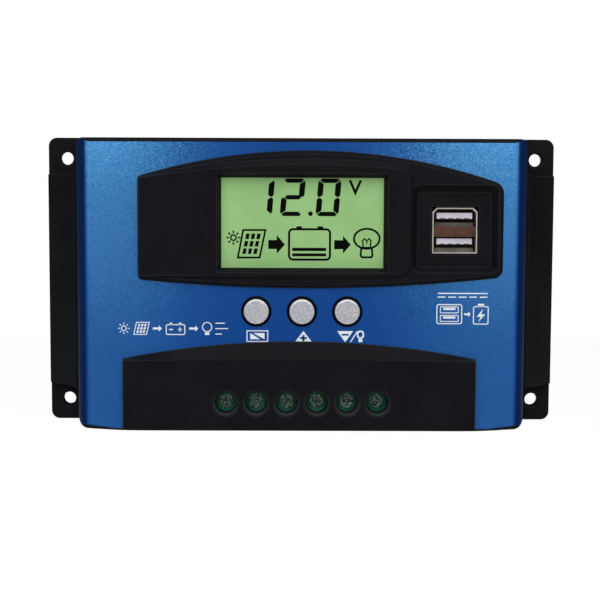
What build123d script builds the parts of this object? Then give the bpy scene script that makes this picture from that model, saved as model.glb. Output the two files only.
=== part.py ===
"""Solar charge controller for a wall: case, display, buttons, twin USB outlet, six clamp terminals.

Millimetres. Every piece is drawn lying on its back: x to the right, y up the face, z out of the
wall, with the origin at the middle of the mounting plane. save() stands the piece upright, so in
the finished part +Z is up, the face looks along -Y and the wall plane is Y = 0.
"""
from build123d import *
import os

os.makedirs("parts", exist_ok=True)

# ---------------------------------------------------------------- overall sizes
FACE_W = 140.0            # cover at its front face
FACE_H = 91.6
FACE_LIFT = 0.2           # middle of the face above the middle of the wall holes
FACE_Z = 34.0             # painted face above the wall
RIM_Z = 16.0              # parting line above the wall
WALL = 2.0
EDGE_R = 4.6              # rounding down the left and right of the cover
RISE = 2.5                # black raised zones above the painted face
TAB_REACH = 11.1          # mounting tabs beyond each side of the shell
TAB_HOLE_D = 4.2
TAB_SINK_D = 5.4
FLANGE_T = 3.0
GAP = 0.3                 # between bodies that must not touch
SEAT = 0.2                # assembly clearance of pieces that stay put
RUN = 0.05                # radial running clearance

FACE_Y_TOP = FACE_H / 2 + FACE_LIFT
FACE_Y_BOTTOM = -FACE_H / 2 + FACE_LIFT
FACE_UNDER = FACE_Z - WALL
PLATEAU_Z = FACE_Z + RISE
RIM_W = FACE_W + 5.8      # the walls lean out towards the wall
RIM_H = FACE_H + 2.2
FLANGE_W = RIM_W + 2 * TAB_REACH
FLANGE_H = RIM_H + 0.4
TAB_HOLE_X = FLANGE_W / 2 - 6.0
TAB_HOLE_Y = FLANGE_H / 2 - 6.85
RAMP_LOW = -TAB_HOLE_Y + 5.75      # side rails between the tabs
RAMP_HIGH = TAB_HOLE_Y - 5.25
CASE_POST_X = RIM_W / 2 - 7.9
CASE_POST_Y = RIM_H / 2 - 7.4
CASE_POST_D = 7.2
CASE_CORNER = 4.0
CASE_SCREW_D = 2.4
CASE_SCREW_L = 22.0
CASE_HEAD_D = 5.8
CASE_SEAT_Z = 3.2         # case screw heads sink this far into the back
BOSS_D = 6.2
PILOT_D = 2.5
VENTS = 11
VENT_W = 2.2
VENT_PITCH = 8.0

# ---------------------------------------------------------------- display zone
ZONE_LEFT = -FACE_W / 2 + 18.8
ZONE_RIGHT = FACE_W / 2 - 7.2
ZONE_APEX_TOP = FACE_Y_TOP - 3.5
ZONE_LEFT_TOP = FACE_Y_TOP - 11.6
ZONE_RIGHT_TOP = FACE_Y_TOP - 13.8
ZONE_APEX_BOTTOM = -0.25
ZONE_LEFT_BOTTOM = 2.3
ZONE_RIGHT_BOTTOM = 3.3
LCD_X = 0.15
LCD_Y = 20.05
LCD_W = 50.7
LCD_H = 28.1
LCD_Z = FACE_Z - 1.0      # viewing face of the glass
BEVEL = 1.3
GLASS_W = LCD_W + 3.2
GLASS_H = LCD_H + 3.2
GLASS_T = 1.8
LIGHT_T = 3.0
PORT_W = 23.0             # flat floor round the USB outlet
PORT_H = 23.4
PORT_X = ZONE_RIGHT - 15.2
PORT_Y = 18.1
PORT_Z = FACE_Z - 0.6
RIDGE_X = PORT_X - 14.2   # right end of the high part of the bezel

# ---------------------------------------------------------------- buttons
BUTTON_XS = (-14.2, 0.1, 14.3)
BUTTON_Y = -7.65
BUTTON_D = 7.75
BUTTON_HOLE_D = BUTTON_D + 1.4
BUTTON_FLANGE_D = BUTTON_D + 2.45
BUTTON_FLANGE_T = 1.5
BUTTON_PROUD = 1.2
BUTTON_TRAVEL = 0.8
SWITCH_W = 6.2
SWITCH_H = 3.4
SWITCH_FLOOR = 0.8
PLUNGER_D = 3.4
PLUNGER_PROUD = 0.9

# ---------------------------------------------------------------- terminals
TERMINALS = 6
PITCH = 9.53
TERMINAL_X = 0.1          # middle of the row
TERMINAL_Y = FACE_Y_BOTTOM + 9.2
FASCIA_LEFT = -FACE_W / 2 + 13.8
FASCIA_RIGHT = FACE_W / 2 - 15.1
FASCIA_TOP = TERMINAL_Y + 19.35
FASCIA_CREASE = TERMINAL_Y + 13.8
ACCESS_D = 7.95
CAGE_SIDE = 0.9
CAGE_PLATE = 1.8
CAGE_WINDOW_W = 5.0
CAGE_WINDOW_H = 6.3
CAGE_TRAVEL = 3.0
CAGE_W = CAGE_WINDOW_W + 2 * CAGE_SIDE
CAGE_L = 6.0
SCREW_D = 3.0
SCREW_HEAD_D = 5.2
SCREW_HEAD_H = 1.9
BAR_T = 1.0
BAR_W = 4.2
BAR_Z = 22.0                                   # underside of the contact bars
CAGE_TOP_PLATE = BAR_Z + BAR_T + GAP           # underside of the cage's threaded plate
CAGE_FLOOR = CAGE_TOP_PLATE - CAGE_WINDOW_H    # top of the cage's lower plate
CAGE_HIGH = CAGE_TOP_PLATE + CAGE_PLATE
HEAD_SEAT = CAGE_HIGH + CAGE_TRAVEL + GAP
BLOCK_BACK = 7.0          # block behind the terminal line
BLOCK_FRONT = 6.5         # block ahead of it, towards the wires
BLOCK_TOP = FACE_UNDER - 0.6
MODULE_GAP = 0.04         # between neighbouring modules of the block

# ---------------------------------------------------------------- USB outlet
USB_X = PORT_X + 0.24
USB_Y = PORT_Y - 0.3
USB_W = 14.07
USB_H = 14.3
USB_Z = FACE_Z - 1.3
USB_DEPTH = 14.3
USB_SHEET = 0.4
USB_BACK_T = 3.4          # moulding behind the sockets
USB_CHAMFER = 1.3
TONGUE_W = 11.1
TONGUE_T = 1.84
TONGUE_BACK = 1.4         # tongues end this far inside the mouth
TONGUE_YS = (USB_Y + 4.6, USB_Y - 3.4)
SPACER_H = 3.2
SPACER_Y = USB_Y - 0.35
USB_BASE = USB_Z - USB_DEPTH

# ---------------------------------------------------------------- boards and heat sink
BOARD_T = 1.6
MAIN_Z = 8.0
MAIN_W = FACE_W - 22.0
MAIN_H = FACE_H - 5.6
MAIN_SCREW_X = MAIN_W / 2 - 5.0
MAIN_SCREW_Y = MAIN_H / 2 - 5.0
VIEW_Z = FACE_Z - 10.6    # underside of the display board
VIEW_LEFT = ZONE_LEFT + 7.2
VIEW_RIGHT = RIDGE_X + 0.2
VIEW_BOTTOM = BUTTON_Y - 5.85
VIEW_TOP = ZONE_LEFT_TOP + 3.6
VIEW_POSTS = [(x, y) for x in (VIEW_LEFT + 4.0, VIEW_RIGHT - 3.0)
              for y in (VIEW_TOP - 32.0, VIEW_TOP - 4.0)]
VIEW_POST_D = 5.0
LINK_PINS = 6
LINK_Y = VIEW_TOP - 24.0     # lowest pin between the two boards
USB_BOARD_W = 20.0
USB_BOARD_H = 22.0
PIN_W = 0.64
PIN_PITCH = 2.54
HEADER_H = 2.5
SINK_W = MAIN_W + 2.0
SINK_H = 60.0
SINK_T = 1.5
SINK_LEDGE = 8.0
SINK_PAD_Z = 5.0
SINK_SCREW_IN = 4.0       # sink screws in from the plate's edges
SINK_HEAD_D = 4.6
SINK_SEAT_Z = 0.9
PAD_T = 0.6
MOSFETS = 6
MOSFET_PITCH = 16.0

MAIN_TOP = MAIN_Z + BOARD_T
VIEW_TOP_Z = VIEW_Z + BOARD_T


# ---------------------------------------------------------------- drawing helpers
def save(name, shape):
    """Stand the piece upright and write its STEP file."""
    upright = Rot(90, 0, 0) * shape
    upright.label = name
    export_step(upright, f"parts/{name}.step")


def block(x0, x1, y0, y1, z0, z1):
    """A box between two corners."""
    size = Box(x1 - x0, y1 - y0, z1 - z0, align=(Align.MIN, Align.MIN, Align.MIN))
    return Pos(x0, y0, z0) * size


def rod(d, x, y, z0, z1):
    """A round bar standing off the wall."""
    return Pos(x, y, z0) * Cylinder(d / 2, z1 - z0, align=(Align.CENTER, Align.CENTER, Align.MIN))


def at_height(face, z0, z1):
    """A flat outline extruded between two heights."""
    return extrude(Pos(0, 0, z0) * face, amount=z1 - z0)


def rounded(corners):
    """A closed outline from (x, y, radius) corners."""
    face = make_face(Polyline([(x, y) for x, y, r in corners], close=True))
    for x, y, r in corners:
        if r > 0:
            nearest = min(face.vertices(), key=lambda v: (Vector(*v) - Vector(x, y, 0)).length)
            face = fillet(nearest, r)
    return face


def case_outline(half_w, y_bottom, y_top, corner):
    """Plan of the case: small upper corners, lower corners that ease into the bottom edge."""
    ease = 14.0
    drop = 1.0
    knee = 150.0
    return rounded([
        (-half_w, y_top, corner * 0.55),
        (half_w, y_top, corner * 0.55),
        (half_w, y_bottom + drop, corner),
        (half_w - ease, y_bottom, knee),
        (-half_w + ease, y_bottom, knee),
        (-half_w, y_bottom + drop, corner),
    ])


def broken_edge(d, x, y, z):
    """Small chamfer round the mouth of a hole."""
    return Pos(x, y, z - 0.15) * Cone(d / 2, d / 2 + 0.3, 0.3)


def cross_recess(d, depth):
    """Driver recess cut down from z = 0."""
    arm = d * 0.62
    slot = d * 0.14
    down = (Align.CENTER, Align.CENTER, Align.MAX)
    return Box(arm, slot, depth, align=down) + Box(slot, arm, depth, align=down)


def screw(x, y, z_seat, head_d, head_h, shank_d, length, facing=1):
    """Pan head screw seated at z_seat; facing = 1 heads away from the wall."""
    body = Cylinder(head_d / 2, head_h, align=(Align.CENTER, Align.CENTER, Align.MIN))
    body = fillet(body.edges().sort_by(Axis.Z)[-1], head_h * 0.35)
    body -= Pos(0, 0, head_h) * cross_recess(head_d, head_h * 0.55)
    body += Pos(0, 0, -length) * Cylinder(
        shank_d / 2, length, align=(Align.CENTER, Align.CENTER, Align.MIN))
    if facing < 0:
        body = Rot(180, 0, 0) * body
    return Pos(x, y, z_seat) * body


def four(x, y):
    """The four mirrored places of a corner."""
    return [(sx * x, sy * y) for sx in (-1, 1) for sy in (-1, 1)]


# ---------------------------------------------------------------- base shell
def base_shell():
    """Tray with four tabs; a sloping rail runs up each side between its tabs."""
    ramp_foot = 4.6
    ramp_inner = RIM_W / 2 + 1.3
    ramp_top = ramp_foot + FLANGE_W / 2 - ramp_inner
    tab_corner = 2.8
    rail_corner = 2.6
    flange = at_height(RectangleRounded(FLANGE_W, FLANGE_H, tab_corner), 0, FLANGE_T)
    outline = case_outline(RIM_W / 2, -RIM_H / 2, RIM_H / 2, CASE_CORNER)
    middle = (RAMP_LOW + RAMP_HIGH) / 2
    wings = Pos(0, middle) * Rectangle(FLANGE_W, RAMP_HIGH - RAMP_LOW)
    winged = outline + wings
    roots = [v for v in winged.vertices()
             if abs(abs(v.X) - RIM_W / 2) < 0.01 and RAMP_LOW - 1 < v.Y < RAMP_HIGH + 1]
    winged = fillet(roots, rail_corner)
    shell = flange + at_height(winged, 0, ramp_top) + at_height(outline, 0, RIM_Z)
    wedge = make_face(Polyline(
        [(FLANGE_W / 2 + 1, ramp_foot - 1), (FLANGE_W / 2 + 1, RIM_Z + 1),
         (ramp_inner - 1, RIM_Z + 1), (ramp_inner - 1, ramp_top + 1)], close=True))
    slope = Pos(0, RIM_H, 0) * extrude(Plane.XZ * wedge, amount=2 * RIM_H)
    slope -= block(-ramp_inner + 0.1, ramp_inner - 0.1, -RIM_H, RIM_H, -1, FACE_Z)
    shell -= slope + mirror(slope, Plane.YZ)

    inner = case_outline(RIM_W / 2 - WALL, -RIM_H / 2 + WALL, RIM_H / 2 - WALL, CASE_CORNER / 2)
    shell -= at_height(inner, FLANGE_T, RIM_Z + 1)
    rail_roof = ramp_top - FLANGE_T
    hollow = make_face(Polyline(
        [(RIM_W / 2 - WALL - 1, FLANGE_T), (FLANGE_W / 2 - 3.2, FLANGE_T),
         (ramp_inner - 0.6, rail_roof), (RIM_W / 2 - WALL - 1, rail_roof)],
        close=True))
    hollow = Pos(0, RAMP_HIGH - WALL, 0) * extrude(
        Plane.XZ * hollow, amount=RAMP_HIGH - RAMP_LOW - 2 * WALL)
    shell -= hollow + mirror(hollow, Plane.YZ)

    for x, y in four(TAB_HOLE_X, TAB_HOLE_Y):
        shell -= rod(TAB_HOLE_D, x, y, -1, FLANGE_T + 1)
        sink = (TAB_SINK_D - TAB_HOLE_D) / 2
        shell -= Pos(x, y, FLANGE_T - sink / 2) * Cone(
            TAB_HOLE_D / 2, TAB_SINK_D / 2, sink)
    for x, y in four(CASE_POST_X, CASE_POST_Y):
        shell += rod(CASE_POST_D, x, y, 0, RIM_Z - SEAT)
        shell -= rod(CASE_SCREW_D + 1.0, x, y, -1, RIM_Z)
        shell -= rod(CASE_HEAD_D + 0.6, x, y, -1, CASE_SEAT_Z)
    for x, y in four(MAIN_SCREW_X, MAIN_SCREW_Y):
        shell += rod(BOSS_D, x, y, FLANGE_T, MAIN_Z)
        shell -= rod(PILOT_D, x, y, FLANGE_T - 1.8, MAIN_Z + 1)
    window_w = SINK_W - 2 * SINK_LEDGE
    window_h = SINK_H - 2 * SINK_LEDGE
    shell -= at_height(RectangleRounded(SINK_W, SINK_H, 3.0), -1, SINK_T)
    shell -= at_height(Rectangle(window_w, window_h), -1, FLANGE_T + 1)
    for x, y in four(SINK_W / 2 - SINK_SCREW_IN, SINK_H / 2 - SINK_SCREW_IN):
        shell += rod(BOSS_D, x, y, SINK_T, MAIN_Z - 1.0)
        shell -= rod(PILOT_D, x, y, SINK_T - 1, MAIN_Z - 2.0)
    return shell


# ---------------------------------------------------------------- front cover
def cover_block(inset, z_low, z_top):
    """The cover as a solid: drafted walls, rounded sides, chamfered upper and lower edges."""
    step_in = 0.3
    rim_half = RIM_W / 2 - step_in - 0.1 - inset
    face_half = FACE_W / 2 - inset
    corner = CASE_CORNER - inset * 0.8
    low = case_outline(rim_half, -RIM_H / 2 + step_in + inset, RIM_H / 2 - step_in - inset, corner)
    high = case_outline(face_half, FACE_Y_BOTTOM + inset, FACE_Y_TOP - inset, corner * 0.75)
    body = loft([Pos(0, 0, RIM_Z) * low, Pos(0, 0, FACE_Z) * high])
    side = rounded([
        (-rim_half, RIM_Z, 0), (rim_half, RIM_Z, 0),
        (face_half, FACE_Z, EDGE_R - inset * 0.8), (-face_half, FACE_Z, EDGE_R - inset * 0.8)])
    body &= Pos(0, RIM_H, 0) * extrude(Plane.XZ * side, amount=2 * RIM_H)
    if inset == 0:
        bevel_y = 0.9
        bevel_z = 0.8
        section = make_face(Polyline(
            [(-RIM_H, 0), (-RIM_H, FACE_Z - bevel_z), (FACE_Y_BOTTOM - 0.1, FACE_Z - bevel_z),
             (FACE_Y_BOTTOM + bevel_y, FACE_Z), (FACE_Y_TOP - bevel_y, FACE_Z),
             (FACE_Y_TOP + 0.1, FACE_Z - bevel_z), (RIM_H, FACE_Z - bevel_z), (RIM_H, 0)],
            close=True))
        body &= Pos(-RIM_W, 0, 0) * extrude(Plane.YZ * section, amount=2 * RIM_W)
    return body & block(-RIM_W, RIM_W, -RIM_H, RIM_H, z_low, z_top)


def zone_outline(inset):
    """Outline of the black display zone, drawn in by inset."""
    left = ZONE_LEFT + inset
    right = ZONE_RIGHT - inset
    top_left = (left, ZONE_LEFT_TOP - inset)
    top_right = (right, ZONE_RIGHT_TOP - inset)
    low_left = (left, ZONE_LEFT_BOTTOM + inset)
    low_right = (right, ZONE_RIGHT_BOTTOM + inset)
    edges = [
        Line(low_left, top_left),
        ThreePointArc(top_left, (0.5, ZONE_APEX_TOP - inset), top_right),
        Line(top_right, low_right),
        ThreePointArc(low_right, (0.0, ZONE_APEX_BOTTOM + inset), low_left),
    ]
    face = make_face(Curve() + edges)
    radii = ((top_left, 1.2), (low_left, 1.6), (top_right, 4.0), (low_right, 3.0))
    for place, radius in radii:
        corner = min(face.vertices(), key=lambda v: (Vector(*v) - Vector(*place, 0)).length)
        face = fillet(corner, max(radius - inset * 0.5, 0.4))
    return face


def fascia_outline(inset, crease=None):
    """Outline of the terminal zone; crease replaces the arch with a shallow line."""
    left = FASCIA_LEFT + inset
    right = FASCIA_RIGHT - inset
    shoulder = FASCIA_CREASE - inset
    bottom = FACE_Y_BOTTOM + 0.3 + inset
    if crease is None:
        apex = FASCIA_TOP - inset
    else:
        apex = crease
    edges = [
        Line((left, bottom), (left, shoulder)),
        ThreePointArc((left, shoulder), ((left + right) / 2, apex), (right, shoulder)),
        Line((right, shoulder), (right, bottom)),
        Line((right, bottom), (left, bottom)),
    ]
    return make_face(Curve() + edges)


def terminal_xs():
    return [TERMINAL_X + (n - (TERMINALS - 1) / 2) * PITCH for n in range(TERMINALS)]


def fascia_seat(clearance):
    """The part of the terminal zone that drops into the cover's face."""
    low = FACE_Y_BOTTOM + 3.6 + clearance
    return fascia_outline(1.6 + clearance) & Pos(0, low / 2) * Rectangle(FACE_W, -low)


def front_cover():
    shell = cover_block(0, RIM_Z, FACE_Z + 1) - cover_block(WALL, RIM_Z - 1, FACE_UNDER)
    shell -= at_height(zone_outline(1.6), FACE_UNDER - 1, FACE_Z + 1)
    shell -= at_height(fascia_seat(0), FACE_UNDER - 1, FACE_Z + 1)
    guide_d = BUTTON_FLANGE_D + 2 * GAP
    for x in BUTTON_XS:
        shell += rod(guide_d + 2.4, x, BUTTON_Y, FACE_UNDER - 3.0, FACE_UNDER)
        shell -= rod(guide_d, x, BUTTON_Y, FACE_UNDER - 4, FACE_UNDER)
        shell -= rod(BUTTON_HOLE_D, x, BUTTON_Y, FACE_UNDER - 1, FACE_Z + 1)
        shell -= broken_edge(BUTTON_HOLE_D, x, BUTTON_Y, FACE_Z)
    for x, y in four(CASE_POST_X, CASE_POST_Y):
        shell += rod(CASE_POST_D, x, y, RIM_Z, FACE_UNDER)
        shell -= rod(PILOT_D, x, y, RIM_Z - 1, CASE_SEAT_Z + CASE_SCREW_L + 2.0)
    xs = terminal_xs()
    mouth_half = PITCH / 2 + 0.6
    shell -= block(xs[0] - mouth_half, xs[-1] + mouth_half, -RIM_H / 2 - 1, FACE_Y_BOTTOM + 2.6,
                   RIM_Z - 1, BAR_Z + 2.0)
    for n in range(VENTS):
        x = (n - (VENTS - 1) / 2) * VENT_PITCH
        shell -= block(x - VENT_W / 2, x + VENT_W / 2, FACE_Y_TOP - 3.0, RIM_H / 2 + 1,
                       RIM_Z + 4.0, FACE_Z - 5.0)
    return shell


def lens(left, right, top, bottom, radius):
    """Outline between two arcs, each given by its left, middle and right heights."""
    middle = (left + right) / 2
    edges = [
        Line((left, bottom[0]), (left, top[0])),
        ThreePointArc((left, top[0]), (middle, top[1]), (right, top[2])),
        Line((right, top[2]), (right, bottom[2])),
        ThreePointArc((right, bottom[2]), (middle, bottom[1]), (left, bottom[0])),
    ]
    face = make_face(Curve() + edges)
    for place in ((right, top[2]), (right, bottom[2])):
        corner = min(face.vertices(), key=lambda v: (Vector(*v) - Vector(*place, 0)).length)
        face = fillet(corner, radius)
    return face


def display_bezel():
    """Black zone: a low rim, a raised field round the display, a sunk port for the outlet."""
    lip_z = FACE_Z + 0.5
    rim_z = FACE_Z + 1.4
    body = at_height(zone_outline(1.6 + SEAT), FACE_UNDER, FACE_Z)
    body += at_height(zone_outline(0), FACE_Z, lip_z)
    body += loft([Pos(0, 0, lip_z) * zone_outline(0), Pos(0, 0, rim_z) * zone_outline(1.1)])
    foot = lens(ZONE_LEFT + 0.1, RIDGE_X + 3.0,
                (ZONE_LEFT_TOP - 0.4, ZONE_APEX_TOP - 1.1, ZONE_APEX_TOP - 3.9),
                (ZONE_LEFT_BOTTOM + 0.5, ZONE_APEX_BOTTOM + 0.65, ZONE_APEX_BOTTOM + 1.85), 5.0)
    crest = lens(ZONE_LEFT + 0.6, RIDGE_X,
                 (ZONE_LEFT_TOP - 0.5, ZONE_APEX_TOP - 4.6, ZONE_APEX_TOP - 5.9),
                 (ZONE_LEFT_BOTTOM + 1.3, ZONE_APEX_BOTTOM + 4.15, ZONE_APEX_BOTTOM + 4.65), 4.0)
    body += loft([Pos(0, 0, lip_z) * foot, Pos(0, 0, PLATEAU_Z) * crest])

    floor = Pos(PORT_X, PORT_Y) * RectangleRounded(PORT_W, PORT_H, 1.0)
    mouth = Pos(PORT_X + 0.4, PORT_Y + 0.4) * RectangleRounded(PORT_W + 4.4, PORT_H + 5.2, 2.6)
    body -= loft([Pos(0, 0, PORT_Z) * floor, Pos(0, 0, rim_z + 0.6) * mouth])

    ledge = LCD_Z + 0.1
    sight = Pos(LCD_X, LCD_Y) * Rectangle(LCD_W, LCD_H)
    wide = Pos(LCD_X, LCD_Y) * Rectangle(LCD_W + 2 * BEVEL, LCD_H + 2 * BEVEL)
    body -= loft([Pos(0, 0, ledge + 0.5) * sight, Pos(0, 0, PLATEAU_Z + 0.01) * wide])
    body -= at_height(sight, FACE_UNDER - 1, ledge + 0.5)
    body -= lcd_layer(SEAT + 0.05, FACE_UNDER - 1, ledge)
    body -= at_height(Pos(USB_X, USB_Y) * Rectangle(USB_W + 0.7, USB_H + 0.7),
                      FACE_UNDER - 1, PORT_Z + 1)
    for x, y in VIEW_POSTS:
        body += rod(VIEW_POST_D, x, y, VIEW_TOP_Z, FACE_UNDER)
        body -= rod(2.0, x, y, VIEW_TOP_Z - 1, FACE_UNDER - 1)
    return body


def terminal_fascia():
    lip_z = FACE_Z + 0.4
    body = at_height(fascia_seat(SEAT), FACE_UNDER, FACE_Z)
    body += at_height(fascia_outline(0), FACE_Z, lip_z)
    foot = Pos(0, 0, lip_z) * fascia_outline(0)
    crest = Pos(0, 0, PLATEAU_Z) * fascia_outline(0.35, crease=FASCIA_CREASE)
    body += loft([foot, crest])
    for x in terminal_xs():
        body -= rod(ACCESS_D, x, TERMINAL_Y, FACE_UNDER - 1, PLATEAU_Z + 1)
        body -= broken_edge(ACCESS_D, x, TERMINAL_Y, PLATEAU_Z)
    return body


# ---------------------------------------------------------------- heat sink and power stage
def heat_sink():
    plate = at_height(RectangleRounded(SINK_W - 2 * SEAT, SINK_H - 2 * SEAT, 2.8), 0, SINK_T)
    window_w = SINK_W - 2 * SINK_LEDGE
    window_h = SINK_H - 2 * SINK_LEDGE
    plate += at_height(Rectangle(window_w - 2 * SEAT, window_h - 2 * SEAT), SINK_T, SINK_PAD_Z)
    for x, y in four(SINK_W / 2 - SINK_SCREW_IN, SINK_H / 2 - SINK_SCREW_IN):
        plate -= rod(PILOT_D + 0.3, x, y, -1, SINK_T + 1)
        plate -= rod(SINK_HEAD_D + 0.4, x, y, -1, SINK_SEAT_Z)
    return plate


def sink_screws():
    group = Part()
    for x, y in four(SINK_W / 2 - SINK_SCREW_IN, SINK_H / 2 - SINK_SCREW_IN):
        group += screw(x, y, SINK_SEAT_Z, SINK_HEAD_D, 0.8, 2.4, 4.6, facing=-1)
    return group


def mosfets():
    """Flat power packages between the board and the heat sink, tab towards the top."""
    group = Part()
    foot = SINK_PAD_Z + PAD_T
    body_w = 10.0
    tab_t = 1.2
    lead_w = 1.0
    for n in range(MOSFETS):
        x = (n - (MOSFETS - 1) / 2) * MOSFET_PITCH
        group += block(x - body_w / 2, x + body_w / 2, -8, 1, foot, MAIN_Z)
        group += block(x - body_w / 2, x + body_w / 2, 1, 5, foot, foot + tab_t)
        for side in (-1, 1):
            lead_x = x + side * PIN_PITCH
            group += block(lead_x - lead_w / 2, lead_x + lead_w / 2, -12, -8, MAIN_Z - 0.8, MAIN_Z)
    return group


def thermal_pad():
    reach = (MOSFETS * MOSFET_PITCH + 4) / 2
    return block(-reach, reach, -14, 8, SINK_PAD_Z, SINK_PAD_Z + PAD_T)


def main_board():
    board = block(-MAIN_W / 2, MAIN_W / 2, -MAIN_H / 2, MAIN_H / 2, MAIN_Z, MAIN_TOP)
    for x, y in four(MAIN_SCREW_X, MAIN_SCREW_Y):
        board -= rod(3.0, x, y, MAIN_Z - 1, MAIN_TOP + 1)
    return board


def main_screws():
    group = Part()
    for x, y in four(MAIN_SCREW_X, MAIN_SCREW_Y):
        group += screw(x, y, MAIN_TOP, 5.0, 1.8, 2.4, 7.0)
    return group


def capacitors():
    """Three upright cans in a column, each with its crimp groove."""
    group = Part()
    can_d = 10.0
    can_h = 12.5
    can_pitch = 14.0
    x = -MAIN_W / 2 + 9.0
    for n in range(3):
        y = 12.0 - n * can_pitch
        can = rod(can_d, x, y, MAIN_TOP, MAIN_TOP + can_h)
        can = fillet(can.edges().sort_by(Axis.Z)[-1], 0.8)
        groove = rod(can_d + 1, x, y, MAIN_TOP + 2.0, MAIN_TOP + 2.8)
        groove -= rod(can_d - 0.6, x, y, MAIN_TOP, MAIN_TOP + 4)
        group += can - groove
    return group


def inductor():
    ring_r = 4.5
    core_r = 2.5
    return Pos(MAIN_W / 2 - 19, MAIN_H / 2 - 7, MAIN_TOP + core_r) * Torus(ring_r, core_r)


def shunt():
    """Bridge of resistance strip between two board pads."""
    sheet = 1.2
    height = 6.0
    strip = block(16, 36, -20, -16, MAIN_TOP, MAIN_TOP + height)
    strip -= block(16 + sheet, 36 - sheet, -21, -15, MAIN_TOP - 1, MAIN_TOP + height - sheet)
    return strip


def controller_chip():
    """Square package with eight gull-wing leads out of its upper and lower sides."""
    lead_pitch = 1.27
    lead_w = 0.4
    side = 12.0
    y0 = 12.0
    body = block(-side / 2, side / 2, y0, y0 + side, MAIN_TOP + 0.3, MAIN_TOP + 1.9)
    for n in range(8):
        x = (n - 3.5) * lead_pitch
        body += block(x - lead_w / 2, x + lead_w / 2, y0 - 1.2, y0 + side + 1.2,
                      MAIN_TOP, MAIN_TOP + 0.6)
    return body


def diodes():
    group = Part()
    for x in (-20.0, -8.0):
        group += block(x - 4, x + 4, -20, -14, MAIN_TOP, MAIN_TOP + 2.4)
    return group


def pin_rows(xs, ys, z0, z1):
    """Square pins with one moulded spacer at their foot."""
    half = PIN_W / 2
    edge = PIN_PITCH / 2
    pins = Part()
    spacer = block(min(xs) - edge, max(xs) + edge, min(ys) - edge, max(ys) + edge,
                   z0 + 0.01, z0 + HEADER_H)
    for x in xs:
        for y in ys:
            pins += block(x - half, x + half, y - half, y + half, z0, z1)
            spacer -= block(x - half - 0.01, x + half + 0.01, y - half - 0.01, y + half + 0.01,
                            z0 - 1, z1)
    return pins, spacer


# ---------------------------------------------------------------- display stack
def display_board():
    board = block(VIEW_LEFT, VIEW_RIGHT, VIEW_BOTTOM, VIEW_TOP, VIEW_Z, VIEW_TOP_Z)
    for x, y in VIEW_POSTS:
        board -= rod(2.3, x, y, VIEW_Z - 1, VIEW_TOP_Z + 1)
    return board


def display_screws():
    group = Part()
    for x, y in VIEW_POSTS:
        group += screw(x, y, VIEW_Z, 4.0, 1.4, 1.9, 6.0, facing=-1)
    return group


def lcd_layer(grow, z0, z1):
    return block(LCD_X - GLASS_W / 2 - grow, LCD_X + GLASS_W / 2 + grow,
                 LCD_Y - GLASS_H / 2 - grow, LCD_Y + GLASS_H / 2 + grow, z0, z1)


def lcd_frame():
    """Carrier that holds the lamp and the glass off the display board."""
    top = LCD_Z - GLASS_T - LIGHT_T
    frame = lcd_layer(0, VIEW_TOP_Z, top)
    frame -= lcd_layer(-2.5, VIEW_TOP_Z - 1, top + 1)
    return frame


# ---------------------------------------------------------------- buttons and switches
def button_cap(x):
    top = FACE_Z + BUTTON_PROUD
    flange_top = FACE_UNDER - GAP
    stem_foot = VIEW_TOP_Z + SWITCH_H + PLUNGER_PROUD + GAP
    cap = rod(BUTTON_D, x, BUTTON_Y, flange_top - 1, top)
    cap = fillet(cap.edges().sort_by(Axis.Z)[-1], 0.55)
    cap += rod(BUTTON_FLANGE_D, x, BUTTON_Y, flange_top - BUTTON_FLANGE_T, flange_top)
    cap += rod(4.0, x, BUTTON_Y, stem_foot, flange_top - BUTTON_FLANGE_T)
    return cap


def switch_bodies():
    group = Part()
    half = SWITCH_W / 2
    for x in BUTTON_XS:
        body = block(x - half, x + half, BUTTON_Y - half, BUTTON_Y + half,
                     VIEW_TOP_Z, VIEW_TOP_Z + SWITCH_H)
        group += body - rod(PLUNGER_D + 2 * RUN, x, BUTTON_Y, VIEW_TOP_Z + SWITCH_FLOOR,
                            FACE_Z)
    return group


def switch_plunger(x):
    foot = VIEW_TOP_Z + SWITCH_FLOOR + BUTTON_TRAVEL + GAP
    return rod(PLUNGER_D, x, BUTTON_Y, foot, VIEW_TOP_Z + SWITCH_H + PLUNGER_PROUD)


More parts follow.
